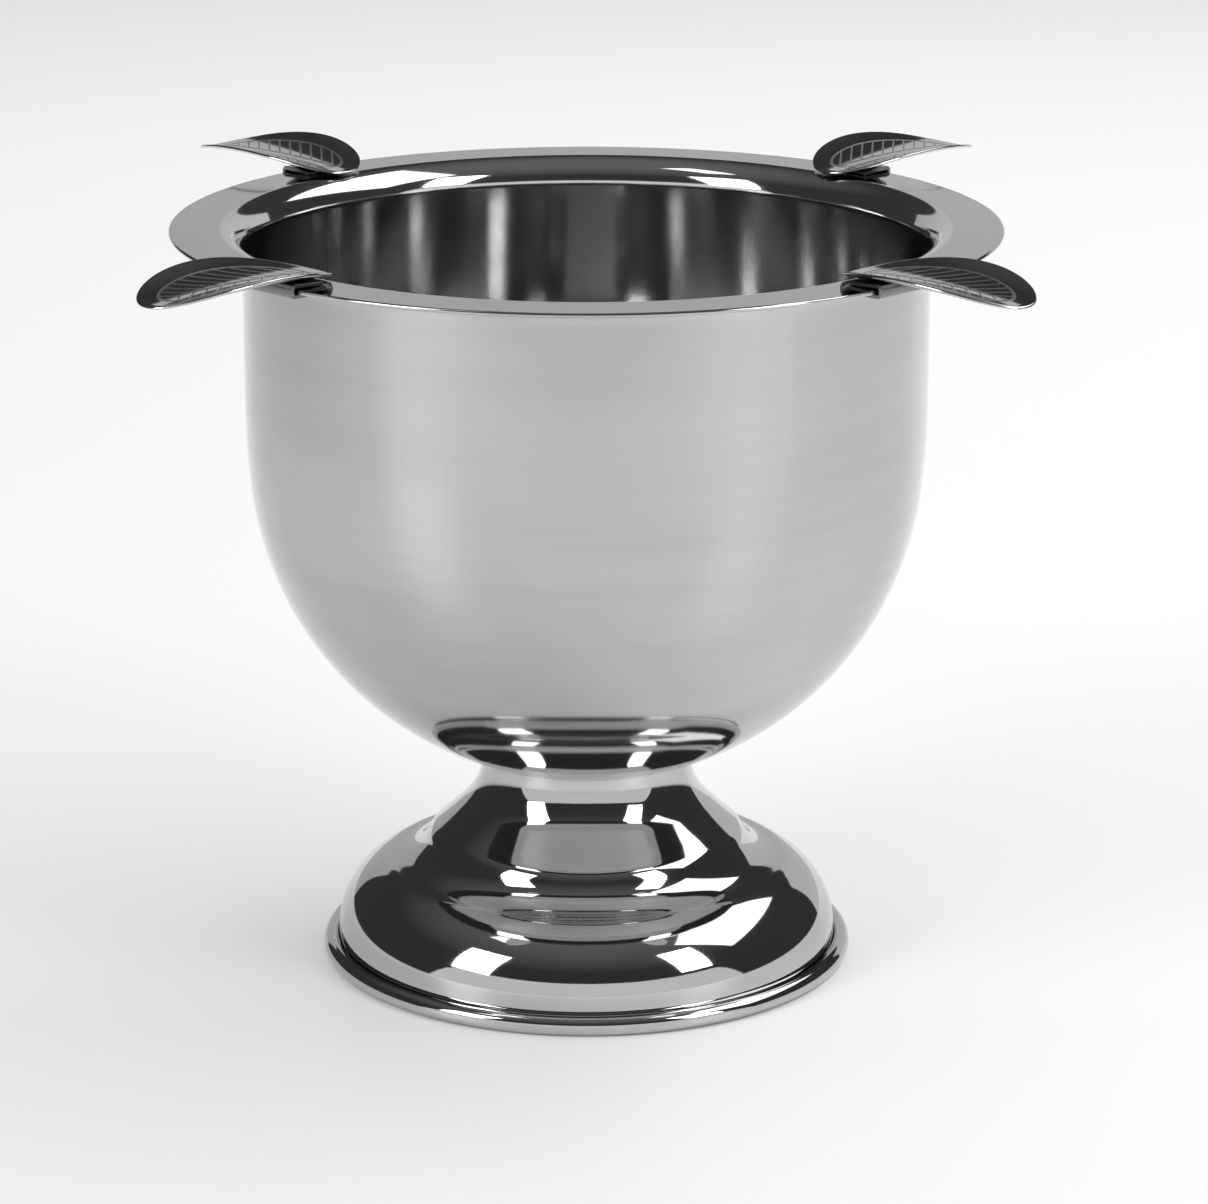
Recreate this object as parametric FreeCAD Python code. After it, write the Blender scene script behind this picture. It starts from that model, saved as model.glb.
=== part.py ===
"""Footed stainless ashtray bowl with a flat rim and four clip-on cigar rests.

Millimetres, +Z up. The origin is on the table, at the centre of the round foot.
Every spun piece is turned about the Z axis. Profiles are drawn in the XZ plane,
with x as the radius. Each rest is drawn pointing along +X and then turned into place.
"""
import os
from math import asin, cos, pi, radians, sin, sqrt, tan

import FreeCAD
import Part

Vec = FreeCAD.Vector
UP = Vec(0, 0, 1)
ORIGIN = Vec(0, 0, 0)

# ---- driving dimensions ----
sheet = 1.0                      # spun stainless sheet

# bowl and rim
rim_radius = 102.0
rim_top = 187.2
wall_radius = 84.3               # outside of the straight wall
rim_bend = 7.0                   # bend from the flat rim into the wall, upper side
wall_foot = 142.6                # where the straight wall starts to curve in
flank_arc_radius = 178.6
flank_arc_degrees = 6.8
bowl_flat_radius = 12.0          # small flat under the bowl, for the weld boss

# pedestal, from the bowl down: each bend ends at a slope, in degrees below horizontal
pedestal_top_radius = 26.1       # upright here, against the bowl
throat_radius = 17.85
throat_slope = 46.2
flare_radius = 84.7
flare_slope = 39.8
shoulder_radius = 8.65
shoulder_slope = 64.0
hollow_radius = 11.2             # ends at the seam between trumpet and foot dome
hollow_slope = 6.0
shelf_radius = 9.0
shelf_slope = 26.4
dome_radius = 19.65
dome_slope = 90.0
mating_extra = 2.0               # trumpet drawn this far into the bowl, then cut to fit it

# disc inside the trumpet's top, for the centre fastening
plate_radius = 26.0
plate_top = 45.9

# curled foot bead
bead_radius = 2.43
foot_flat_cut = 0.15             # ground off the bead where it stands on the table
curl_end_degrees = 118.0

# centre fastening, M8
stud_radius = 4.0
stud_foot = 31.0
thread_gap = 0.02
plate_hole_radius = 4.4
clamp_washer_radius = 18.0
clamp_washer_height = 2.0
lock_washer_radius = 7.4
lock_washer_height = 2.0
lock_washer_split = 1.2
nut_across_flats = 13.0
nut_height = 6.5

# cigar rests
rest_centre_radius = 113.2
rest_half_length = 26.7
rest_half_width = 14.9
rest_sheet = 0.8
rest_underside = 1.65            # above the rim, at the middle of the rest
rest_trough_depth = 3.3
rest_arch_drop = 1.25
rest_directions = {"front_left": 225, "front_right": 315, "back_right": 45, "back_left": 135}

# spring clips under the rests
clip_sheet = 0.9
clip_half_width = 8.0
clip_gap = 0.05                  # clearance to the rim sheet, above and below
clip_edge_gap = 0.4              # clearance to the rim's edge
clip_upper_tip = 93.5            # radius that the upper arm reaches in to
clip_lower_tip = 92.5
clip_outer_bend = 1.2
clip_inner_bend = 0.3
clip_weld_gap = 0.02

# ---- derived dimensions ----
bend_centre_radius = wall_radius - sheet + rim_bend
bend_centre_height = rim_top - rim_bend
flank_turn = radians(flank_arc_degrees)
bottom_radius = (wall_radius - flank_arc_radius * (1 - cos(flank_turn))) / cos(flank_turn)
bottom_centre = wall_foot - (flank_arc_radius - bottom_radius) * sin(flank_turn)
bowl_flat_height = bottom_centre - sqrt(bottom_radius ** 2 - bowl_flat_radius ** 2)
pedestal_top = bottom_centre - sqrt(bottom_radius ** 2 - pedestal_top_radius ** 2)
plate_underside = plate_top - sheet
washer_underside = plate_underside - clamp_washer_height
lock_underside = washer_underside - lock_washer_height
bead_centre_height = bead_radius - foot_flat_cut


# ---- drawing helpers ----
def at(radius, height):
    """A point of a profile."""
    return Vec(radius, 0, height)


def on_circle(centre, radius, degrees):
    """The point of a profile circle at an angle counted from +X towards +Z."""
    turn = radians(degrees)
    return Vec(centre.x + radius * cos(turn), 0, centre.z + radius * sin(turn))


def line(start, end):
    return Part.LineSegment(start, end).toShape()


def arc(centre, radius, start, end):
    """A circular arc between two angles in degrees, either way round."""
    middle = (start + end) / 2
    points = [on_circle(centre, radius, angle) for angle in (start, middle, end)]
    return Part.Arc(*points).toShape()


def turned(edges):
    """The solid that a closed profile sweeps about the Z axis."""
    face = Part.Face(Part.Wire(edges))
    return face.revolve(ORIGIN, UP, 360)


def rounded_outline(corners):
    """A closed wire through (radius, height, bend) corners, each bend a tangent arc."""
    starts = []
    ends = []
    bends = []
    count = len(corners)
    for index, (radius, height, bend) in enumerate(corners):
        corner = at(radius, height)
        before = at(*corners[index - 1][:2]) - corner
        after = at(*corners[(index + 1) % count][:2]) - corner
        before.normalize()
        after.normalize()
        half_angle = before.getAngle(after) / 2
        reach = bend / tan(half_angle)
        starts.append(corner + before * reach)
        ends.append(corner + after * reach)
        towards_centre = before + after
        towards_centre.normalize()
        bends.append(corner + towards_centre * (bend / sin(half_angle) - bend))
    edges = []
    for index in range(count):
        if corners[index][2] > 0:
            edges.append(Part.Arc(starts[index], bends[index], ends[index]).toShape())
        edges.append(line(ends[index], starts[(index + 1) % count]))
    return Part.Wire(edges)


def ring(outer, inner, foot, top):
    """A flat ring about the Z axis."""
    height = top - foot
    body = Part.makeCylinder(outer, height, Vec(0, 0, foot))
    return body.cut(Part.makeCylinder(inner, height, Vec(0, 0, foot)))


# ---- bowl ----
def bowl_side(inset):
    """The bowl's section from the rim to the bottom flat, set in from the outside."""
    bend_centre = at(bend_centre_radius, bend_centre_height)
    flank_centre = at(wall_radius - flank_arc_radius, wall_foot)
    bottom = at(0, bottom_centre)
    bend = rim_bend - sheet + inset
    flank = flank_arc_radius - inset
    sphere = bottom_radius - inset
    flat_turn = -90 + asin(bowl_flat_radius / sphere) * 180 / pi
    rim_level = bend_centre_height + bend
    flat_end = on_circle(bottom, sphere, flat_turn)
    return [
        line(at(rim_radius - sheet / 2, rim_level), at(bend_centre_radius, rim_level)),
        arc(bend_centre, bend, 90, 180),
        line(at(wall_radius - inset, bend_centre_height), at(wall_radius - inset, wall_foot)),
        arc(flank_centre, flank, 0, -flank_arc_degrees),
        arc(bottom, sphere, -flank_arc_degrees, flat_turn),
        line(flat_end, at(0, flat_end.z)),
    ]


def make_bowl():
    """One spun sheet: flat rim, straight wall and round bottom."""
    outside = bowl_side(0)
    inside = bowl_side(sheet)
    rim_edge = arc(at(rim_radius - sheet / 2, rim_top - sheet / 2), sheet / 2, -90, 90)
    outer_foot = outside[-1].Vertexes[-1].Point
    inner_foot = inside[-1].Vertexes[-1].Point
    axis = line(at(0, outer_foot.z), at(0, inner_foot.z))
    return turned(Part.__sortEdges__(outside + [axis] + inside + [rim_edge]))


# ---- trumpet and foot dome ----
def pedestal_bends(inset):
    """The pedestal's section as six tangent bends, set in from the outside."""
    point = at(pedestal_top_radius, pedestal_top)
    slope = 90
    bends = []
    for radius, next_slope in ((throat_radius, throat_slope), (flare_radius, flare_slope),
                               (shoulder_radius, shoulder_slope), (hollow_radius, hollow_slope),
                               (shelf_radius, shelf_slope), (dome_radius, dome_slope)):
        hollow = next_slope < slope
        start = -90 - slope if hollow else 90 - slope
        centre = on_circle(point, radius, start + 180)
        end = start + slope - next_slope
        point = on_circle(centre, radius, end)
        slope = next_slope
        bends.append(arc(centre, radius + inset if hollow else radius - inset, start, end))
    return bends


def bead_centre():
    """The centre of the curled bead, so that its sheet runs on from the dome."""
    dome_edge = pedestal_bends(0)[-1].Vertexes[-1].Point.x
    return at(dome_edge + bead_radius - sheet, bead_centre_height)


def make_pedestal_trumpet():
    """A spun trumpet, cut at the top to the round of the bowl it is welded to."""
    outside = pedestal_bends(0)[:4]
    inside = pedestal_bends(sheet)[:4]
    outer_top = at(pedestal_top_radius, pedestal_top + mating_extra)
    inner_top = at(pedestal_top_radius - sheet, pedestal_top + mating_extra)
    body = turned(Part.__sortEdges__(outside + inside + [
        line(outside[0].Vertexes[0].Point, outer_top),
        line(outer_top, inner_top),
        line(inner_top, inside[0].Vertexes[0].Point),
        line(outside[-1].Vertexes[-1].Point, inside[-1].Vertexes[-1].Point),
    ]))
    return body.cut(Part.makeSphere(bottom_radius, Vec(0, 0, bottom_centre)))


def make_top_plate():
    """The disc welded inside the trumpet's top."""
    return ring(plate_radius, plate_hole_radius, plate_underside, plate_top)


def bead_curl():
    """The foot's curled edge: the sheet turns outwards, up and back to the dome."""
    centre = bead_centre()
    flat_turn = asin(bead_centre_height / bead_radius) * 180 / pi
    inner_end = on_circle(centre, bead_radius - sheet, curl_end_degrees)
    outer_end = on_circle(centre, bead_radius, curl_end_degrees)
    return [
        arc(centre, bead_radius, -180, -180 + flat_turn),
        line(on_circle(centre, bead_radius, -180 + flat_turn), on_circle(centre, bead_radius, -flat_turn)),
        arc(centre, bead_radius, -flat_turn, curl_end_degrees),
        line(outer_end, inner_end),
        arc(centre, bead_radius - sheet, curl_end_degrees, -180),
    ]


def make_foot_dome():
    """A spun ring: shelf, dome and curled foot, welded edge to edge to the trumpet."""
    outside = pedestal_bends(0)[4:]
    inside = pedestal_bends(sheet)[4:]
    outer_end = outside[-1].Vertexes[-1].Point
    inner_end = inside[-1].Vertexes[-1].Point
    return turned(Part.__sortEdges__(outside + inside + bead_curl() + [
        line(outside[0].Vertexes[0].Point, inside[0].Vertexes[0].Point),
        line(outer_end, at(outer_end.x, bead_centre_height)),
        line(inner_end, at(inner_end.x, bead_centre_height)),
    ]))


# ---- centre fastening ----
def make_weld_boss():
    """A tapped disc welded to the flat under the bowl. It stands on the top plate."""
    return ring(bowl_flat_radius, stud_radius + thread_gap, plate_top, bowl_flat_height)


def make_centre_stud():
    """The threaded stud that holds the bowl to the pedestal."""
    chamfer = 1.0
    top = bowl_flat_height - thread_gap
    return turned([
        line(at(0, top), at(stud_radius, top)),
        line(at(stud_radius, top), at(stud_radius, stud_foot + chamfer)),
        line(at(stud_radius, stud_foot + chamfer), at(stud_radius - chamfer, stud_foot)),
        line(at(stud_radius - chamfer, stud_foot), at(0, stud_foot)),
        line(at(0, stud_foot), at(0, top)),
    ])


def make_clamp_washer():
    """The wide washer under the top plate."""
    return ring(clamp_washer_radius, plate_hole_radius, washer_underside, plate_underside)


def make_lock_washer():
    """A split spring washer."""
    body = ring(lock_washer_radius, stud_radius + 10 * thread_gap, lock_underside, washer_underside)
    split = Part.makeBox(lock_washer_radius, lock_washer_split, 2 * lock_washer_height)
    split.translate(Vec(0, -lock_washer_split / 2, lock_underside - lock_washer_height / 2))
    return body.cut(split)


def make_hex_nut():
    """A hexagon nut with chamfered corners."""
    corner_radius = nut_across_flats / sqrt(3)
    foot = lock_underside - nut_height
    corners = [Vec(corner_radius * cos(k * pi / 3), corner_radius * sin(k * pi / 3), foot) for k in range(7)]
    body = Part.Face(Part.makePolygon(corners)).extrude(Vec(0, 0, nut_height))
    chamfer = corner_radius - nut_across_flats / 2
    upright = nut_height - 2 * chamfer * tan(radians(30))
    lower = Part.makeCone(nut_across_flats / 2, corner_radius, (nut_height - upright) / 2, Vec(0, 0, foot))
    middle = Part.makeCylinder(corner_radius, upright, Vec(0, 0, foot + (nut_height - upright) / 2))
    upper = Part.makeCone(corner_radius, nut_across_flats / 2, (nut_height - upright) / 2,
                          Vec(0, 0, foot + (nut_height + upright) / 2))
    body = body.common(lower.fuse([middle, upper]))
    bore = Part.makeCylinder(stud_radius + thread_gap, nut_height, Vec(0, 0, foot))
    return body.cut(bore).removeSplitter()


# ---- cigar rests, drawn along +X ----
def arch_drop(radius):
    """How far the rest's middle line has dropped at a radius from the bowl's axis."""
    return rest_arch_drop * ((radius - rest_centre_radius) / rest_half_length) ** 2


def saddle_surface(height):
    """The rest's saddle: arched along its length and hollow across it."""
    long_reach = rest_half_length + 1
    wide_reach = rest_half_width + 1
    arch = rest_arch_drop * (long_reach / rest_half_length) ** 2
    trough = rest_trough_depth * (wide_reach / rest_half_width) ** 2
    surface = Part.BezierSurface()
    surface.increase(2, 2)
    for i, along in enumerate((-1, 0, 1)):
        for j, across in enumerate((-1, 0, 1)):
            rise = trough * (abs(across) * 2 - 1) - arch * (abs(along) * 2 - 1)
            pole = Vec(rest_centre_radius + along * long_reach, across * wide_reach, height + rise)
            surface.setPole(i + 1, j + 1, pole)
    return surface.toShape()


def make_rest_saddle():
    """The leaf-shaped pressing that a cigar lies on."""
    slab = saddle_surface(rim_top + rest_underside).extrude(Vec(0, 0, rest_sheet))
    tall = 4 * rest_half_width
    low_centre = Vec(rest_centre_radius, 0, rim_top - tall / 2)
    leaf = Part.Ellipse(low_centre + Vec(rest_half_length, 0, 0),
                        low_centre + Vec(0, rest_half_width, 0), low_centre)
    outline = Part.Face(Part.Wire(leaf.toShape())).extrude(Vec(0, 0, tall))
    return slab.common(outline)


def make_rest_clip():
    """A bent spring strip, welded under the rest, that grips the rim from its edge."""
    back_inner = rim_radius + clip_edge_gap
    back_outer = back_inner + clip_sheet
    slot_floor = rim_top - sheet - clip_gap
    arm_tip_top = rim_top + rest_underside - arch_drop(clip_upper_tip) - clip_weld_gap
    arm_back_top = rim_top + rest_underside - arch_drop(back_outer) - clip_weld_gap
    slope = (arm_back_top - arm_tip_top) / (back_outer - clip_upper_tip)
    arm_inner_height = arm_tip_top + slope * (back_inner - clip_upper_tip) - clip_sheet
    wire = rounded_outline([
        (clip_upper_tip, arm_tip_top - clip_sheet, 0),
        (clip_upper_tip, arm_tip_top, 0),
        (back_outer, arm_back_top, clip_outer_bend),
        (back_outer, slot_floor - clip_sheet, clip_outer_bend),
        (clip_lower_tip, slot_floor - clip_sheet, 0),
        (clip_lower_tip, slot_floor, 0),
        (back_inner, slot_floor, clip_inner_bend),
        (back_inner, arm_inner_height, clip_inner_bend),
    ])
    clip = Part.Face(wire).extrude(Vec(0, 2 * clip_half_width, 0))
    clip.translate(Vec(0, -clip_half_width, 0))
    return clip


# ---- the whole object ----
def make_parts():
    parts = {
        "bowl": make_bowl(),
        "pedestal_trumpet": make_pedestal_trumpet(),
        "foot_dome": make_foot_dome(),
        "top_plate": make_top_plate(),
        "weld_boss": make_weld_boss(),
        "centre_stud": make_centre_stud(),
        "clamp_washer": make_clamp_washer(),
        "lock_washer": make_lock_washer(),
        "hex_nut": make_hex_nut(),
    }
    for corner, degrees in rest_directions.items():
        for name, make in (("rest_saddle", make_rest_saddle), ("rest_clip", make_rest_clip)):
            piece = make()
            piece.rotate(ORIGIN, UP, degrees)
            parts[name + "_" + corner] = piece
    return {node: shape.Solids[0] for node, shape in parts.items()}


os.makedirs("parts", exist_ok=True)
for node, shape in make_parts().items():
    shape.exportStep("parts/" + node + ".step")
    box = shape.optimalBoundingBox()
    print(f"{node:24s} {shape.ShapeType} valid {shape.isValid()} volume {shape.Volume:9.1f}"
          f" x {box.XMin:7.2f} to {box.XMax:7.2f} z {box.ZMin:7.2f} to {box.ZMax:7.2f}")
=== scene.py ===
"""The looks of the footed ashtray bowl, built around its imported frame.

Metres, +Z up. The front is towards -Y. Profiles are (radius, height) pairs about the Z axis.
"""
from math import asin, atan2, ceil, cos, degrees, hypot, pi, radians, sin, sqrt, tan

import bmesh
import bpy
from mathutils import Matrix, Vector


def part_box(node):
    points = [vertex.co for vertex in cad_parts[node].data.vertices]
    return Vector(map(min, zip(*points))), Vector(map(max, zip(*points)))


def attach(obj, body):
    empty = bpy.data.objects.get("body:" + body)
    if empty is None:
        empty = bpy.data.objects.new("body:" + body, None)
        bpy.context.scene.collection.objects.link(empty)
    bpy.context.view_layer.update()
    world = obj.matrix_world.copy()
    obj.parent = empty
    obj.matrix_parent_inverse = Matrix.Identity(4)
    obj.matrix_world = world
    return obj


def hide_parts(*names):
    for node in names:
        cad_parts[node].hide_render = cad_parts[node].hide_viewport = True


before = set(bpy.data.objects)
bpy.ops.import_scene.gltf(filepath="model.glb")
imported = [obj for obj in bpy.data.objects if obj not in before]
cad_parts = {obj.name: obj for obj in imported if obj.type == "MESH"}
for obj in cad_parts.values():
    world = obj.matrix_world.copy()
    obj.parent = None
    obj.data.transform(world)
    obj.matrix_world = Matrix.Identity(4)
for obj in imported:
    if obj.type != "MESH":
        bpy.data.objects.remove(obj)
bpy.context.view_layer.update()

MM = 0.001
CORNERS = {"front_left": 225, "front_right": 315, "back_right": 45, "back_left": 135}

# ---- sizes from the frame ----
bowl_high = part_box("bowl")[1]
rim_radius = min(bowl_high.x, bowl_high.y)
rim_top = bowl_high.z
stud_low, stud_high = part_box("centre_stud")
stud_radius = stud_high.x

# ---- sizes of the sheet work ----
sheet = 1.0 * MM
wall_radius = 84.3 * MM
rim_bend = 7.0 * MM
wall_foot = 142.6 * MM
flank_arc_radius = 178.6 * MM
flank_arc_degrees = 6.8
bowl_flat_radius = 12.0 * MM
pedestal_top_radius = 26.1 * MM
PEDESTAL_BENDS = (                # radius, and the slope in degrees below horizontal that the bend ends at
    (17.85 * MM, 46.2),
    (84.7 * MM, 39.8),
    (8.65 * MM, 64.0),
    (11.2 * MM, 6.0),             # ends at the seam between trumpet and foot dome
    (9.0 * MM, 26.4),
    (19.65 * MM, 90.0),
)
TRUMPET_BENDS = 4                 # the rest belong to the foot dome
bead_radius = 2.43 * MM
foot_flat_cut = 0.15 * MM
curl_end = 118
plate_hole_radius = 4.4 * MM
rest_centre_radius = 113.2 * MM
rest_half_length = 26.7 * MM
rest_half_width = 14.9 * MM
rest_sheet = 0.8 * MM
rest_underside = 1.65 * MM
rest_trough_depth = 3.3 * MM
rest_arch_drop = 1.25 * MM
clip_sheet = 0.9 * MM
clip_half_width = 8.0 * MM
clip_gap = 0.05 * MM
clip_edge_gap = 0.4 * MM
clip_upper_tip = 93.5 * MM
clip_lower_tip = 92.5 * MM
clip_outer_bend = 1.2 * MM
clip_inner_bend = 0.3 * MM
clip_weld_gap = 0.02 * MM
fine_edge = 0.15 * MM             # broken edge of turned and stamped pieces
thread_pitch = 1.25 * MM
thread_depth = 0.65 * MM
thread_root_share = 0.1           # half of the root's flat, in pitches
stud_chamfer = 1.0 * MM
lock_washer_split = 1.2 * MM
thread_clearance = 0.02 * MM      # between the stud and the threaded bores around it
washer_clearance = 0.2 * MM
nut_bore_chamfer = 0.4 * MM

LATHE_STEPS = 288
ARC_STEP = 2.5                    # degrees between profile points on a bend
LINE_STEP = 2.5 * MM
SHORT_RUN = 1.0 * MM              # runs shorter than this get no extra points
EDGE_STEPS = 10                   # around the rim's rounded edge
EASE_STEPS = 6                    # around the bend of a corner
END_HOLD = 0.15 * MM              # how close to a straight stretch's ends its extra points lie
SAME_POINT = 0.001 * MM
SHARP_ANGLE = 35                  # folds steeper than this stay crisp


# ---- profiles ----
def on_circle(centre, radius, angle):
    turn = radians(angle)
    return (centre[0] + radius * cos(turn), centre[1] + radius * sin(turn))


def arc(centre, radius, start, end):
    """Points along a bend, angles in degrees counted from outwards towards up."""
    steps = max(3, ceil(abs(end - start) / ARC_STEP))
    return [on_circle(centre, radius, start + (end - start) * k / steps) for k in range(steps + 1)]


def straight(start, end):
    """Points along a straight stretch, with one close to each end so that shading stays flat."""
    length = hypot(end[0] - start[0], end[1] - start[1])
    hold = min(END_HOLD, length / 4)
    steps = max(1, ceil(length / LINE_STEP))
    places = [0, hold] + [length * k / steps for k in range(1, steps)] + [length - hold, length]
    places = sorted(set(round(p, 9) for p in places))
    return [(start[0] + (end[0] - start[0]) * p / length,
             start[1] + (end[1] - start[1]) * p / length) for p in places]


def joined(*runs):
    """One profile from several runs, without doubled points."""
    points = []
    for run in runs:
        for point in run:
            if not points or hypot(point[0] - points[-1][0], point[1] - points[-1][1]) > SAME_POINT:
                points.append(point)
    return points


def eased(corners):
    """A closed profile through (radius, height, bend) corners, each bend a tangent arc."""
    points = []
    count = len(corners)
    for k, (radius, height, bend) in enumerate(corners):
        corner = Vector((radius, height))
        before = (Vector(corners[k - 1][:2]) - corner).normalized()
        after = (Vector(corners[(k + 1) % count][:2]) - corner).normalized()
        if bend <= 0:
            points.append(tuple(corner))
            continue
        half = before.angle(after) / 2
        centre = corner + (before + after).normalized() * bend / sin(half)
        first = corner + before * bend / tan(half) - centre
        last = corner + after * bend / tan(half) - centre
        start = degrees(atan2(first.y, first.x))
        turn = (degrees(atan2(last.y, last.x)) - start + 180) % 360 - 180
        points += [on_circle(centre, bend, start + turn * s / EASE_STEPS) for s in range(EASE_STEPS + 1)]
    runs = []
    for k in range(len(points)):
        start, end = points[k], points[(k + 1) % len(points)]
        length = hypot(end[0] - start[0], end[1] - start[1])
        runs.append(straight(start, end) if length > SHORT_RUN else [start, end])
    return joined(*runs)[:-1]


# ---- meshes ----
def new_piece(name, mesh_builder, slot, body, node):
    """A finished mesh object that stands for a CAD node and rides on its body, in its slot's steel."""
    mesh = bpy.data.meshes.new(name)
    mesh_builder.to_mesh(mesh)
    mesh_builder.free()
    for face in mesh.polygons:
        face.use_smooth = True
    mesh.set_sharp_from_angle(angle=radians(SHARP_ANGLE))
    piece = bpy.data.objects.new(name, mesh)
    bpy.context.scene.collection.objects.link(piece)
    mesh.materials.append(STEELS[slot])
    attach(piece, body)
    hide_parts(node)
    return piece


def turned(radius, angle, height):
    """The point at an angle around the Z axis."""
    return (radius * cos(angle), radius * sin(angle), height)


def lathe(profile, steps=LATHE_STEPS):
    """A closed surface of revolution. A profile that starts and ends on the axis gets poles there."""
    on_axis = profile[0][0] < SAME_POINT and profile[-1][0] < SAME_POINT
    ring_points = profile[1:-1] if on_axis else profile
    mesh = bmesh.new()
    rings = []
    for radius, height in ring_points:
        rings.append([mesh.verts.new(turned(radius, 2 * pi * k / steps, height)) for k in range(steps)])
    count = len(rings)
    for row in range(count - 1 if on_axis else count):
        low, high = rings[row], rings[(row + 1) % count]
        for k in range(steps):
            following = (k + 1) % steps
            mesh.faces.new((low[k], low[following], high[following], high[k]))
    if on_axis:
        for pole_point, ring in ((profile[0], rings[0]), (profile[-1], rings[-1])):
            pole = mesh.verts.new((0, 0, pole_point[1]))
            for k in range(steps):
                mesh.faces.new((pole, ring[k], ring[(k + 1) % steps]))
    bmesh.ops.recalc_face_normals(mesh, faces=mesh.faces)
    return mesh


# ---- materials ----
STEELS = {}                       # material slot: its finished material
POLISHING_LINES = 2600            # how fine each noise is, per metre
TONE_BANDS = 240
HAZE = 28
WAVES = 16
TURN_STRETCH = 0.004              # metres of noise per radian around the axis
MICRON = 0.001 * MM
ETCHED_ROUGHNESS = 0.32
ETCHED_DEPTH = 0.03 * MM
LEAF_LENGTH = 0.80                # the etched leaf, in shares of the rest's half length and half width
LEAF_WIDTH = 0.66
VEINS = 6.5                       # per half length of the rest
VEIN_START = 20.5                 # a half, plus whole veins so that the phase stays above zero
VEIN_LEAN = 0.48
VEIN_CURVE = 0.10
OUTLINE_FADE = (0.035, 0.015)     # where each line's edge starts and ends, from its middle
MIDRIB_FADE = (0.040, 0.022)
VEIN_FADE = (0.105, 0.060)


class Nodes:
    """A short way to lay out a material's nodes."""

    def __init__(self, name):
        self.material = bpy.data.materials.new(name)
        self.material.use_nodes = True
        self.tree = self.material.node_tree
        self.tree.nodes.clear()
        self.shader = self.add("ShaderNodeBsdfPrincipled")
        self.surface = self.add("ShaderNodeOutputMaterial").inputs["Surface"]
        self.link(self.shader.outputs["BSDF"], self.surface)

    def add(self, kind, **values):
        node = self.tree.nodes.new(kind)
        for key, value in values.items():
            setattr(node, key, value)
        return node

    def link(self, source, target):
        self.tree.links.new(source, target)

    def math(self, operation, first, second=None):
        node = self.add("ShaderNodeMath", operation=operation)
        for socket, value in zip(node.inputs, (first, second)):
            if value is None:
                continue
            if isinstance(value, (int, float)):
                socket.default_value = value
            else:
                self.link(value, socket)
        return node.outputs[0]

    def noise(self, vector, scale, detail=2.0, roughness=0.5):
        node = self.add("ShaderNodeTexNoise")
        node.inputs["Scale"].default_value = scale
        node.inputs["Detail"].default_value = detail
        node.inputs["Roughness"].default_value = roughness
        self.link(vector, node.inputs["Vector"])
        return node.outputs["Fac"]

    def ramp(self, value, stops):
        node = self.add("ShaderNodeValToRGB")
        ramp = node.color_ramp
        while len(ramp.elements) < len(stops):
            ramp.elements.new(0.5)
        for element, (place, colour) in zip(ramp.elements, stops):
            element.position = place
            element.color = (*colour, 1) if len(colour) == 3 else colour
        self.link(value, node.inputs["Fac"])
        return node.outputs["Color"]

    def parts(self, vector):
        node = self.add("ShaderNodeSeparateXYZ")
        self.link(vector, node.inputs[0])
        return node.outputs

    def step(self, value, zero, one):
        """Eases from 0 to 1 between two values."""
        node = self.add("ShaderNodeMapRange", interpolation_type="SMOOTHSTEP")
        self.link(value, node.inputs["Value"])
        node.inputs["From Min"].default_value = zero
        node.inputs["From Max"].default_value = one
        return node.outputs["Result"]

    def bump(self, height, depth, normal=None):
        """Relief of a depth in metres. A negative depth goes in."""
        node = self.add("ShaderNodeBump", invert=depth < 0)
        node.inputs["Strength"].default_value = 1.0
        node.inputs["Distance"].default_value = abs(depth)
        self.link(height, node.inputs["Height"])
        if normal:
            self.link(normal, node.inputs["Normal"])
        return node.outputs["Normal"]

    def span(self, value, low, high):
        """Spreads a 0 to 1 value over a range."""
        node = self.add("ShaderNodeMapRange")
        self.link(value, node.inputs["Value"])
        node.inputs["To Min"].default_value = low
        node.inputs["To Max"].default_value = high
        return node.outputs["Result"]

    def mixed(self, share, first, second):
        """The first colour where share is 0, the second where it is 1."""
        node = self.add("ShaderNodeMix", data_type="RGBA", blend_type="MIX")
        sockets = {socket.identifier: socket for socket in node.inputs}
        self.link(share, sockets["Factor_Float"])
        self.link(first, sockets["A_Color"])
        self.link(second, sockets["B_Color"])
        return [socket for socket in node.outputs if socket.identifier == "Result_Color"][0]


def turned_coordinates(nodes):
    """(radius, slow angle, height): noise over this runs in fine lines around the axis."""
    place = nodes.add("ShaderNodeTexCoord").outputs["Object"]
    x, y, z = nodes.parts(place)
    radius = nodes.math("SQRT", nodes.math("ADD", nodes.math("MULTIPLY", x, x), nodes.math("MULTIPLY", y, y)))
    angle = nodes.math("MULTIPLY", nodes.math("ARCTAN2", y, x), TURN_STRETCH)
    vector = nodes.add("ShaderNodeCombineXYZ")
    for source, target in zip((radius, angle, z), vector.inputs):
        nodes.link(source, target)
    return place, vector.outputs[0]


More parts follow.
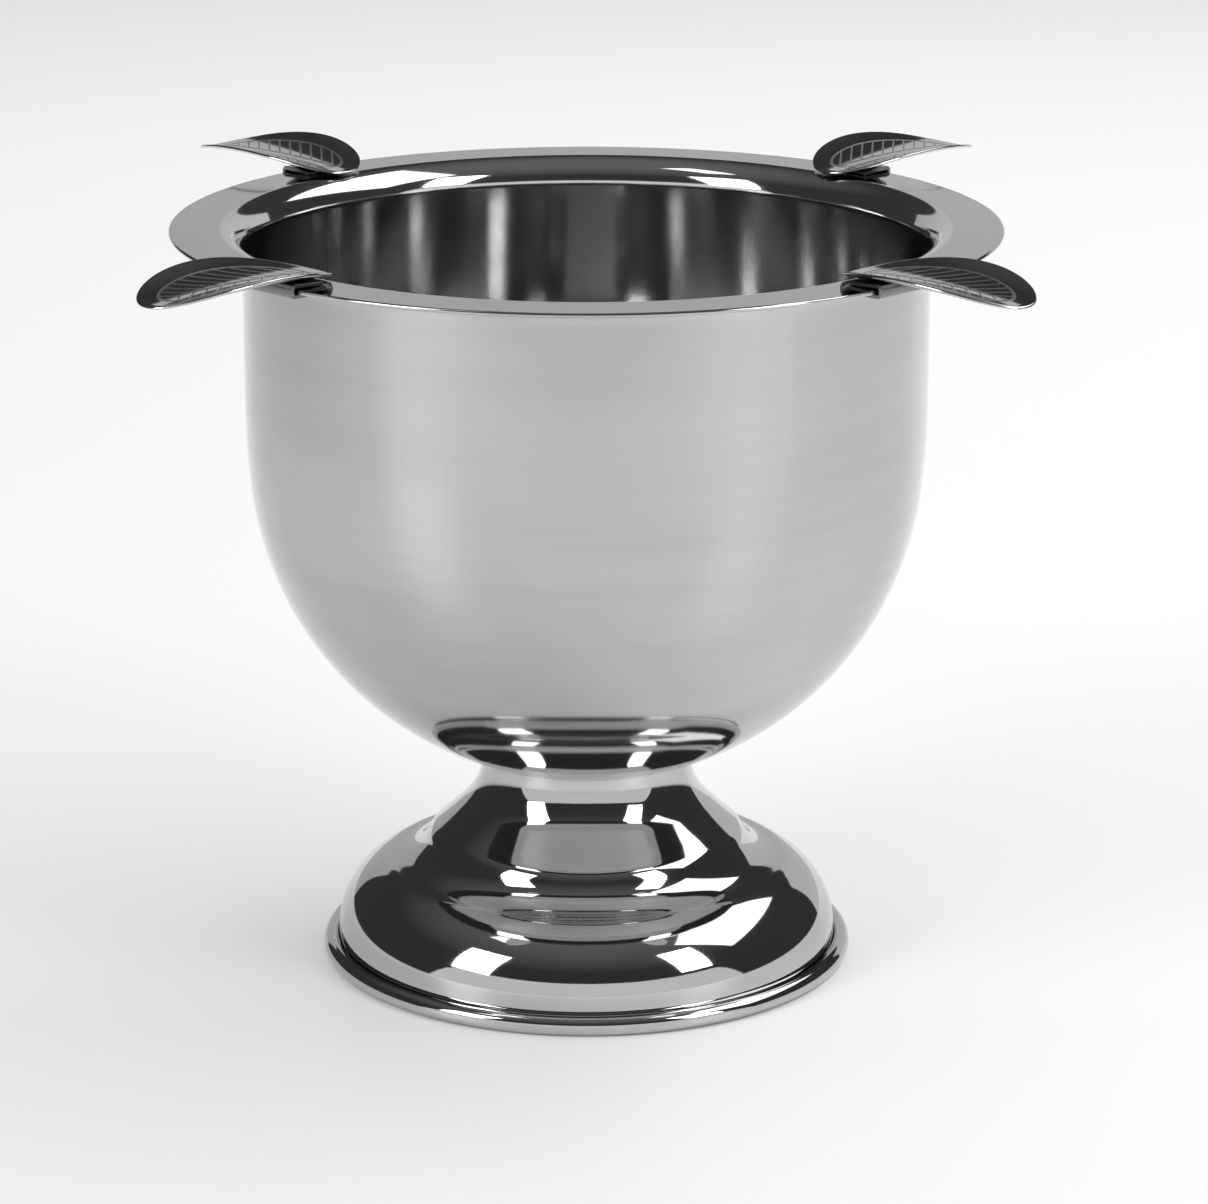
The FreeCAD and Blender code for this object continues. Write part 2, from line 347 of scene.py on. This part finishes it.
def leaf_veins(nodes):
    """1 on the etched lines of the rests: an outline, a midrib and swept side veins."""
    along, across, _ = nodes.parts(nodes.add("ShaderNodeTexCoord").outputs["UV"])
    side = nodes.math("ABSOLUTE", across)
    long_share = nodes.math("DIVIDE", along, LEAF_LENGTH)
    wide_share = nodes.math("DIVIDE", side, LEAF_WIDTH)
    reach = nodes.math("SQRT", nodes.math("ADD", nodes.math("MULTIPLY", long_share, long_share),
                                          nodes.math("MULTIPLY", wide_share, wide_share)))
    outline = nodes.step(nodes.math("ABSOLUTE", nodes.math("SUBTRACT", reach, 1.0)), *OUTLINE_FADE)
    midrib = nodes.step(side, *MIDRIB_FADE)
    lean = nodes.math("ADD", nodes.math("MULTIPLY", side, VEIN_LEAN),
                      nodes.math("MULTIPLY", wide_share, VEIN_CURVE))
    phase = nodes.math("MULTIPLY", nodes.math("SUBTRACT", along, lean), VEINS)
    phase = nodes.math("FRACT", nodes.math("ADD", phase, VEIN_START))
    vein = nodes.step(nodes.math("ABSOLUTE", nodes.math("SUBTRACT", phase, 0.5)), *VEIN_FADE)
    inside = nodes.step(reach, 1.0, 0.98)
    lines = nodes.math("MULTIPLY", nodes.math("MAXIMUM", midrib, vein), inside)
    return nodes.math("MAXIMUM", lines, outline)


def facing_axis(nodes, place):
    """1 on surfaces that face the upright axis, such as the inside of a bowl: the mask of the painted light
    on the bowl's inner face.
    """
    inwards = nodes.add("ShaderNodeVectorMath", operation="DOT_PRODUCT")
    level = nodes.add("ShaderNodeVectorMath", operation="MULTIPLY")
    nodes.link(place, level.inputs[0])
    level.inputs[1].default_value = (1, 1, 0)
    nodes.link(level.outputs[0], inwards.inputs[0])
    nodes.link(nodes.add("ShaderNodeNewGeometry").outputs["Normal"], inwards.inputs[1])
    return nodes.step(inwards.outputs["Value"], -0.001, -0.020)


def tones(dark, light):
    """Stops for a ramp that mostly lies between a dark and a light tone."""
    return [(0.3, dark), (0.7, light)]


def spun_steel(slot, dark, light, roughness, line_depth, wave_depth, grain=0.0, etched=False, inside=None):
    """Polished sheet: fine polishing lines around the axis, faint tone and roughness variation.

    Tones and roughness run from a lowest to a highest value, depths are in metres. grain stretches the
    highlights across the lines, and inside gives the faces towards the axis their own dark and light tone:
    on the bowl this is painted light, a lighter tone on its inner face than on the outer face of the same
    sheet.
    """
    nodes = Nodes(slot)
    place, around = turned_coordinates(nodes)
    lines = nodes.noise(around, POLISHING_LINES, 3.0, 0.6)
    bands = nodes.noise(around, TONE_BANDS, 2.0)
    haze = nodes.noise(place, HAZE, 3.0)
    waves = nodes.noise(place, WAVES, 1.0)
    tone = nodes.math("ADD", nodes.math("MULTIPLY", bands, 0.5), nodes.math("MULTIPLY", haze, 0.5))
    colour = nodes.ramp(tone, tones(dark, light))
    # painted light: the inside tones make faces towards the axis lighter than the rest of the same sheet
    if inside:
        colour = nodes.mixed(facing_axis(nodes, place), colour, nodes.ramp(tone, tones(*inside)))
    nodes.link(colour, nodes.shader.inputs["Base Color"])
    rough = nodes.math("ADD", nodes.math("MULTIPLY", lines, 0.5), nodes.math("MULTIPLY", haze, 0.5))
    rough = nodes.span(rough, *roughness)
    normal = nodes.bump(lines, line_depth)
    normal = nodes.bump(waves, wave_depth, normal)
    if etched:
        veins = leaf_veins(nodes)
        rough = nodes.math("ADD", rough, nodes.math("MULTIPLY", veins, ETCHED_ROUGHNESS))
        normal = nodes.bump(veins, -ETCHED_DEPTH, normal)
    if grain:
        nodes.shader.inputs["Anisotropic"].default_value = grain
        nodes.shader.inputs["Anisotropic Rotation"].default_value = 0.25
        nodes.link(nodes.add("ShaderNodeTangent", direction_type="RADIAL", axis="Z").outputs[0],
                   nodes.shader.inputs["Tangent"])
    nodes.link(rough, nodes.shader.inputs["Roughness"])
    nodes.link(normal, nodes.shader.inputs["Normal"])
    nodes.shader.inputs["Metallic"].default_value = 1.0
    STEELS[slot] = nodes.material


# the bowl's inside tones are painted light, lighter than its outside tones
spun_steel("bowl_steel", (0.45, 0.45, 0.455), (0.50, 0.50, 0.505), (0.05, 0.10), 2 * MICRON, 30 * MICRON,
           grain=0.6, inside=((0.62, 0.62, 0.625), (0.67, 0.67, 0.675)))
spun_steel("pedestal_steel", (0.52, 0.52, 0.525), (0.56, 0.56, 0.565), (0.03, 0.07), 1 * MICRON, 10 * MICRON)
spun_steel("rest_steel", (0.51, 0.51, 0.515), (0.56, 0.56, 0.565), (0.05, 0.12), 1 * MICRON, 10 * MICRON,
           etched=True)
# the clip itself is real; its near-black tone, far darker than the other steel, is painted shade under the
# rest
spun_steel("clip_steel", (0.17, 0.17, 0.175), (0.24, 0.24, 0.245), (0.22, 0.38), 3 * MICRON, 0)
spun_steel("fastener_steel", (0.40, 0.41, 0.43), (0.50, 0.51, 0.53), (0.22, 0.40), 3 * MICRON, 0)


# ---- bowl ----
bend_centre = (wall_radius - sheet + rim_bend, rim_top - rim_bend)
flank_turn = radians(flank_arc_degrees)
bottom_radius = (wall_radius - flank_arc_radius * (1 - cos(flank_turn))) / cos(flank_turn)
bottom_centre = (0, wall_foot - (flank_arc_radius - bottom_radius) * sin(flank_turn))


def bowl_side(inset):
    """The bowl's section from the rim to its axis, set in from the outside."""
    bend = rim_bend - sheet + inset
    sphere = bottom_radius - inset
    flat_turn = degrees(asin(bowl_flat_radius / sphere)) - 90
    rim_level = bend_centre[1] + bend
    flat_end = on_circle(bottom_centre, sphere, flat_turn)
    return joined(
        straight((rim_radius - sheet / 2, rim_level), (bend_centre[0], rim_level)),
        arc(bend_centre, bend, 90, 180),
        straight((wall_radius - inset, bend_centre[1]), (wall_radius - inset, wall_foot)),
        arc((wall_radius - flank_arc_radius, wall_foot), flank_arc_radius - inset, 0, -flank_arc_degrees),
        arc(bottom_centre, sphere, -flank_arc_degrees, flat_turn),
        straight(flat_end, (0, flat_end[1])),
    )


def make_bowl():
    outside = bowl_side(0)
    inside = bowl_side(sheet)
    edge_centre = (rim_radius - sheet / 2, rim_top - sheet / 2)
    edge = [on_circle(edge_centre, sheet / 2, -90 + 180 * k / EDGE_STEPS) for k in range(EDGE_STEPS + 1)]
    profile = joined(outside[::-1], edge, inside)
    return new_piece("bowl_shell", lathe(profile), "bowl_steel", "stand", "bowl")


# ---- trumpet and foot dome ----
def pedestal_bends(inset):
    """The pedestal's section as tangent bends, set in from the outside."""
    point = (pedestal_top_radius, bottom_centre[1] - sqrt(bottom_radius ** 2 - pedestal_top_radius ** 2))
    slope = 90
    bends = []
    for radius, next_slope in PEDESTAL_BENDS:
        hollow = next_slope < slope
        start = -90 - slope if hollow else 90 - slope
        centre = on_circle(point, radius, start + 180)
        end = start + slope - next_slope
        point = on_circle(centre, radius, end)
        slope = next_slope
        bends.append(arc(centre, radius + inset if hollow else radius - inset, start, end))
    return bends


def make_trumpet():
    """The spun trumpet. Its inner top edge dips to follow the round of the bowl."""
    outside = joined(*pedestal_bends(0)[:TRUMPET_BENDS])
    inside = joined(*pedestal_bends(sheet)[:TRUMPET_BENDS])
    dip = bottom_centre[1] - sqrt(bottom_radius ** 2 - (pedestal_top_radius - sheet) ** 2)
    inside = [(pedestal_top_radius - sheet, dip)] + [point for point in inside if point[1] < dip]
    profile = joined(outside, inside[::-1])
    return new_piece("trumpet_shell", lathe(profile), "pedestal_steel", "stand", "pedestal_trumpet")


def make_dome():
    outside = joined(*pedestal_bends(0)[TRUMPET_BENDS:])
    inside = joined(*pedestal_bends(sheet)[TRUMPET_BENDS:])
    centre = (outside[-1][0] + bead_radius - sheet, bead_radius - foot_flat_cut)
    flat_turn = degrees(asin(centre[1] / bead_radius))
    curl = joined(
        arc(centre, bead_radius, -180, -180 + flat_turn),
        arc(centre, bead_radius, -flat_turn, curl_end),
        arc(centre, bead_radius - sheet, curl_end, -180),
    )
    profile = joined(inside, straight(inside[-1], (inside[-1][0], centre[1])), curl,
                     straight((outside[-1][0], centre[1]), outside[-1]), outside[::-1])
    return new_piece("foot_dome_shell", lathe(profile), "pedestal_steel", "stand", "foot_dome")


# ---- centre fastening ----
def ring_section(bore, outer, low, high):
    """The section of a flat ring with broken edges."""
    return eased([(bore, low, fine_edge), (outer, low, fine_edge),
                  (outer, high, fine_edge), (bore, high, fine_edge)])


def make_ring(name, node, bore):
    """A flat turned ring, as tall and wide as its CAD node."""
    low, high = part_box(node)
    profile = ring_section(bore, high.x, low.z, high.z)
    return new_piece(name, lathe(profile, LATHE_STEPS // 2), "fastener_steel", "stand", node)


def sweep(rows, closed=True):
    """A skin over rows of points, each row a loop; capped at both ends unless the rows close up."""
    mesh = bmesh.new()
    loops = [[mesh.verts.new(point) for point in row] for row in rows]
    count = len(loops)
    for k in range(count if closed else count - 1):
        low, high = loops[k], loops[(k + 1) % count]
        for i in range(len(low)):
            j = (i + 1) % len(low)
            mesh.faces.new((low[i], low[j], high[j], high[i]))
    if not closed:
        mesh.faces.new(loops[0])
        mesh.faces.new(loops[-1])
    bmesh.ops.recalc_face_normals(mesh, faces=mesh.faces)
    return mesh


def thread_groove(turn):
    """How deep the thread is cut at a share of its pitch: a flat root between two flanks."""
    from_root = abs(turn - 0.5)
    return thread_depth * max(0, min(1, (0.5 - from_root) / (0.5 - thread_root_share)))


def make_stud():
    """The stud, with its thread cut as a real helix."""
    spokes = 96
    per_turn = 16
    height = stud_high.z - stud_low.z
    levels = ceil(height / thread_pitch * per_turn)
    rows = []
    for level in range(levels + 1):
        rise = height * level / levels
        chamfer = max(0, stud_chamfer - rise)
        row = []
        for k in range(spokes):
            groove = thread_groove((rise / thread_pitch - k / spokes) % 1)
            radius = min(stud_radius - groove, stud_radius - chamfer)
            row.append(turned(radius, 2 * pi * k / spokes, stud_low.z + rise))
        rows.append(row)
    return new_piece("threaded_stud", sweep(rows, closed=False), "fastener_steel", "stand", "centre_stud")


def make_lock_washer():
    """The spring washer, with its split."""
    low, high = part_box("lock_washer")
    bore = stud_radius + washer_clearance
    section = ring_section(bore, high.y, low.z, high.z)
    half_split = asin(lock_washer_split / 2 / bore)
    steps = 120
    rows = []
    for k in range(steps + 1):
        angle = half_split + (2 * pi - 2 * half_split) * k / steps
        rows.append([turned(radius, angle, height) for radius, height in section])
    return new_piece("spring_washer", sweep(rows, closed=False), "fastener_steel", "stand", "lock_washer")


def make_nut():
    """The hexagon nut: six flats with corners turned back at both ends."""
    low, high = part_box("hex_nut")
    half_flats = high.y
    corner = high.x
    turned_back = tan(radians(30))
    height = high.z - low.z
    bore = stud_radius + thread_clearance
    mouth = bore + nut_bore_chamfer
    levels = 60
    spokes = 180
    angles = [2 * pi * k / spokes for k in range(spokes)]
    rows = [[turned(radius, angle, low.z + mouth - radius) for angle in angles] for radius in (bore, mouth)]
    for level in range(levels + 1):
        rise = height * level / levels
        end_radius = half_flats + min(rise, height - rise) / turned_back
        row = []
        for angle in angles:
            from_flat = (angle + pi / 6) % (pi / 3) - pi / 6
            flat = half_flats / cos(pi / 6 - abs(from_flat))
            row.append(turned(min(flat, corner, end_radius), angle, low.z + rise))
        rows.append(row)
    rows += [[turned(radius, angle, high.z - mouth + radius) for angle in angles] for radius in (mouth, bore)]
    return new_piece("hexagon_nut", sweep(rows), "fastener_steel", "stand", "hex_nut")


# ---- cigar rests, drawn along +X ----
UNDERSIDE = (4, 4)                # texture place of faces without an ornament


def saddle_point(along, across, lift):
    """A point of the saddle, lifted off its underside. along and across run from -1 to 1."""
    height = (rim_top + rest_underside + rest_trough_depth * across ** 2 - rest_arch_drop * along ** 2)
    normal = Vector((2 * rest_arch_drop * along / rest_half_length,
                     -2 * rest_trough_depth * across / rest_half_width, 1)).normalized()
    base = Vector((rest_centre_radius + along * rest_half_length, across * rest_half_width, height))
    return base + normal * lift


def saddle_rings():
    """(share of the outline, lift) of each ring: out over the top, round the edge, back underneath."""
    rings = 26
    edge_steps = 8
    crowding = 0.9                # below 1, rings lie closer together towards the edge
    edge = rest_sheet / 2
    inner_share = 1 - edge / rest_half_width
    shares = [inner_share * (k / rings) ** crowding for k in range(1, rings)]
    turns = [pi / 2 - pi * k / edge_steps for k in range(edge_steps + 1)]
    rolled = [(inner_share + (1 - inner_share) * cos(angle), edge + edge * sin(angle)) for angle in turns]
    return [(share, rest_sheet) for share in shares] + rolled + [(share, 0) for share in reversed(shares)]


def make_saddle(corner, turn):
    """A leaf-shaped pressing with a rolled-smooth edge."""
    spokes = 144
    edge = rest_sheet / 2
    mesh = bmesh.new()
    rows = []
    places = {}
    for share, lift in saddle_rings():
        row = []
        for k in range(spokes):
            angle = 2 * pi * k / spokes
            vertex = mesh.verts.new(saddle_point(share * cos(angle), share * sin(angle), lift))
            places[vertex] = (share * cos(angle), share * sin(angle)) if lift > edge else UNDERSIDE
            row.append(vertex)
        rows.append(row)
    for low, high in zip(rows, rows[1:]):
        for k in range(spokes):
            following = (k + 1) % spokes
            mesh.faces.new((low[k], low[following], high[following], high[k]))
    for row, lift in ((rows[0], rest_sheet), (rows[-1], 0)):
        middle = mesh.verts.new(saddle_point(0, 0, lift))
        places[middle] = (0, 0) if lift > edge else UNDERSIDE
        for k in range(spokes):
            mesh.faces.new((middle, row[k], row[(k + 1) % spokes]))
    bmesh.ops.recalc_face_normals(mesh, faces=mesh.faces)
    layer = mesh.loops.layers.uv.new("leaf")
    for face in mesh.faces:
        for loop in face.loops:
            loop[layer].uv = places[loop.vert]
    mesh.transform(Matrix.Rotation(radians(turn), 4, "Z"))
    return new_piece("rest_leaf_" + corner, mesh, "rest_steel", "rest_" + corner, "rest_saddle_" + corner)


def arch_drop(radius):
    """How far the saddle's underside has dropped at a radius, along its middle."""
    return rest_arch_drop * ((radius - rest_centre_radius) / rest_half_length) ** 2


def make_clip(corner, turn):
    """The bent spring strip under a rest, with broken edges."""
    back_inner = rim_radius + clip_edge_gap
    back_outer = back_inner + clip_sheet
    slot_floor = rim_top - sheet - clip_gap
    tip_top = rim_top + rest_underside - arch_drop(clip_upper_tip) - clip_weld_gap
    back_top = rim_top + rest_underside - arch_drop(back_outer) - clip_weld_gap
    slope = (back_top - tip_top) / (back_outer - clip_upper_tip)
    inner_height = tip_top + slope * (back_inner - clip_upper_tip) - clip_sheet
    outline = eased([
        (clip_upper_tip, tip_top - clip_sheet, fine_edge),
        (clip_upper_tip, tip_top, fine_edge),
        (back_outer, back_top, clip_outer_bend),
        (back_outer, slot_floor - clip_sheet, clip_outer_bend),
        (clip_lower_tip, slot_floor - clip_sheet, fine_edge),
        (clip_lower_tip, slot_floor, fine_edge),
        (back_inner, slot_floor, clip_inner_bend),
        (back_inner, inner_height, clip_inner_bend),
    ])
    set_in = []
    for k, (radius, height) in enumerate(outline):
        run = Vector(outline[(k + 1) % len(outline)]) - Vector(outline[k - 1])
        inward = Vector((run.y, -run.x)).normalized() * fine_edge
        set_in.append((radius + inward.x, height + inward.y))
    side = clip_half_width
    rows = [[(radius, across, height) for radius, height in loop]
            for across, loop in ((-side, set_in), (fine_edge - side, outline),
                                 (side - fine_edge, outline), (side, set_in))]
    mesh = sweep(rows, closed=False)
    mesh.transform(Matrix.Rotation(radians(turn), 4, "Z"))
    # in the clip steel, whose dark tone is painted shade
    return new_piece("rest_spring_" + corner, mesh, "clip_steel", "rest_" + corner, "rest_clip_" + corner)


make_bowl()
make_trumpet()
make_dome()
make_ring("top_disc", "top_plate", plate_hole_radius)
make_ring("boss_disc", "weld_boss", stud_radius + thread_clearance)
make_ring("clamp_disc", "clamp_washer", plate_hole_radius)
make_stud()
make_lock_washer()
make_nut()
for corner, turn in CORNERS.items():
    make_saddle(corner, turn)
    make_clip(corner, turn)


# ---- studio, in metres, degrees and radiance ----
LAMP_AIM = (0, 0, 0.10)
LAMP_DISTANCE = 1.6
SCREEN_DISTANCE = 1.8
FLOOR_HALF = 8.0
FLOOR_GLOW = 0.50                 # of the world, on the floor and behind it
ROOM_GLOW = 0.045                 # of the dark room in reflections
CEILING_GLOW = 0.16               # of its ceiling
CEILING_START = 0.55              # the ceiling fades in between these sines of elevation
CEILING_FULL = 0.95
CAMERA_DISTANCE = 11 * rim_radius
CAMERA_HEIGHT = 4.072 * rim_radius
CAMERA_PITCH = 16.14
CAMERA_LENS = 138.9               # millimetres, on a frame this wide
CAMERA_FRAME = 36
CAMERA_SHIFT = 0.0145


def direction(azimuth, elevation):
    """A unit vector. Azimuth 0 is the front, 90 the right, 180 the back."""
    a, e = radians(azimuth), radians(elevation)
    return Vector((sin(a) * cos(e), -cos(a) * cos(e), sin(e)))


def softbox(name, place, width, height, radiance, aim=LAMP_AIM):
    """A rectangular light that the camera does not see. It glows evenly at the given radiance."""
    light = bpy.data.lights.new(name, "AREA")
    light.shape = "RECTANGLE"
    light.size = width
    light.size_y = height
    light.energy = radiance * pi * width * height
    lamp = bpy.data.objects.new(name, light)
    lamp.location = place
    lamp.rotation_euler = (Vector(aim) - Vector(place)).to_track_quat("-Z", "Y").to_euler()
    lamp.visible_camera = False
    bpy.context.scene.collection.objects.link(lamp)
    return lamp


def arc_card(name, first, last, top, fade, left, right):
    """A glowing screen around the object that the camera does not see. Its height is given as an elevation.

    Its ends slope down to the floor, and its glow changes evenly from the left side to the right.
    """
    steps = 40
    corners = []
    for k in range(steps + 1):
        azimuth = first + (last - first) * k / steps
        share = min(1, (azimuth - first) / fade, (last - azimuth) / fade)
        rise = SCREEN_DISTANCE * tan(radians(top)) * sin(pi / 2 * share)
        place = direction(azimuth, 0) * SCREEN_DISTANCE
        corners += [(place.x, place.y, 0), (place.x, place.y, rise)]
    faces = [(2 * k, 2 * k + 1, 2 * k + 3, 2 * k + 2) for k in range(steps)]
    mesh = bpy.data.meshes.new(name)
    mesh.from_pydata(corners, [], faces)
    nodes = Nodes(name)
    across = nodes.parts(nodes.add("ShaderNodeTexCoord").outputs["Object"])[0]
    spread = nodes.add("ShaderNodeMapRange")
    nodes.link(across, spread.inputs["Value"])
    spread.inputs["From Min"].default_value = -SCREEN_DISTANCE
    spread.inputs["From Max"].default_value = SCREEN_DISTANCE
    spread.inputs["To Min"].default_value = left
    spread.inputs["To Max"].default_value = right
    glow = nodes.add("ShaderNodeEmission")
    nodes.link(spread.outputs["Result"], glow.inputs["Strength"])
    nodes.link(glow.outputs[0], nodes.surface)
    mesh.materials.append(nodes.material)
    panel = bpy.data.objects.new(name, mesh)
    panel.visible_camera = False
    bpy.context.scene.collection.objects.link(panel)
    return panel


def make_floor():
    sides = ((-1, -1), (1, -1), (1, 1), (-1, 1))
    mesh = bpy.data.meshes.new("floor")
    mesh.from_pydata([(x * FLOOR_HALF, y * FLOOR_HALF, 0) for x, y in sides], [], [(0, 1, 2, 3)])
    nodes = Nodes("floor_white")
    nodes.shader.inputs["Base Color"].default_value = (0.86, 0.86, 0.865, 1)
    nodes.shader.inputs["Roughness"].default_value = 0.42
    mesh.materials.append(nodes.material)
    floor = bpy.data.objects.new("floor", mesh)
    bpy.context.scene.collection.objects.link(floor)


def make_world():
    """Plain light for the floor and the backdrop, a dark room with a paler ceiling for reflections."""
    world = bpy.data.worlds.new("studio")
    bpy.context.scene.world = world
    world.cycles.sampling_method = "NONE"
    world.use_nodes = True
    tree = world.node_tree
    tree.nodes.clear()
    seen = tree.nodes.new("ShaderNodeLightPath")
    white = tree.nodes.new("ShaderNodeBackground")
    white.inputs["Color"].default_value = (1, 1, 1, 1)
    white.inputs["Strength"].default_value = FLOOR_GLOW
    height = tree.nodes.new("ShaderNodeSeparateXYZ")
    tree.links.new(tree.nodes.new("ShaderNodeTexCoord").outputs["Generated"], height.inputs[0])
    ceiling = tree.nodes.new("ShaderNodeMapRange")
    tree.links.new(height.outputs["Z"], ceiling.inputs["Value"])
    ceiling.inputs["From Min"].default_value = CEILING_START
    ceiling.inputs["From Max"].default_value = CEILING_FULL
    ceiling.inputs["To Min"].default_value = ROOM_GLOW
    ceiling.inputs["To Max"].default_value = CEILING_GLOW
    dark = tree.nodes.new("ShaderNodeBackground")
    tree.links.new(ceiling.outputs["Result"], dark.inputs["Strength"])
    dark.inputs["Color"].default_value = (1, 1, 1, 1)
    mix = tree.nodes.new("ShaderNodeMixShader")
    output = tree.nodes.new("ShaderNodeOutputWorld")
    tree.links.new(seen.outputs["Is Glossy Ray"], mix.inputs[0])
    tree.links.new(white.outputs[0], mix.inputs[1])
    tree.links.new(dark.outputs[0], mix.inputs[2])
    tree.links.new(mix.outputs[0], output.inputs["Surface"])


def make_lights():
    """Soft boxes: place, width, height, radiance. Screens: first and last azimuth, top, fade, two glows."""
    softbox("front_left_box", direction(-55, 32) * LAMP_DISTANCE, 0.53, 0.80, 6.4)
    softbox("front_right_box", direction(53, 36) * LAMP_DISTANCE, 0.42, 0.80, 7.0)
    softbox("back_right_box", direction(110, 52) * LAMP_DISTANCE, 1.46, 0.80, 2.5)
    softbox("high_left_box", direction(-72, 68) * LAMP_DISTANCE, 0.25, 0.36, 2.0)
    background = softbox("background_box", (0, LAMP_DISTANCE, LAMP_DISTANCE), 3.0, 2.0, 1.0,
                         aim=(0, LAMP_DISTANCE, 0))
    background.visible_glossy = False
    arc_card("front_screen", -74, 74, 18, 14, 0.85, 0.85)
    arc_card("back_screen", 136, 214, 23, 10, 0.40, 0.75)


def make_camera():
    """The view from the front, looking down past the rim."""
    camera = bpy.data.cameras.new("camera")
    camera.sensor_fit = "HORIZONTAL"
    camera.sensor_width = CAMERA_FRAME
    camera.lens = CAMERA_LENS
    camera.shift_x = CAMERA_SHIFT
    camera.clip_end = 50
    view = bpy.data.objects.new("camera", camera)
    view.location = (0, -CAMERA_DISTANCE, CAMERA_HEIGHT)
    view.rotation_euler = (radians(90 - CAMERA_PITCH), 0, 0)
    bpy.context.scene.collection.objects.link(view)
    bpy.context.scene.camera = view


make_floor()
make_world()
make_lights()
make_camera()
bpy.context.scene.view_settings.view_transform = "Standard"
bpy.context.scene.cycles.use_denoising = True
bpy.context.scene.cycles.max_bounces = 16
bpy.context.scene.cycles.glossy_bounces = 12
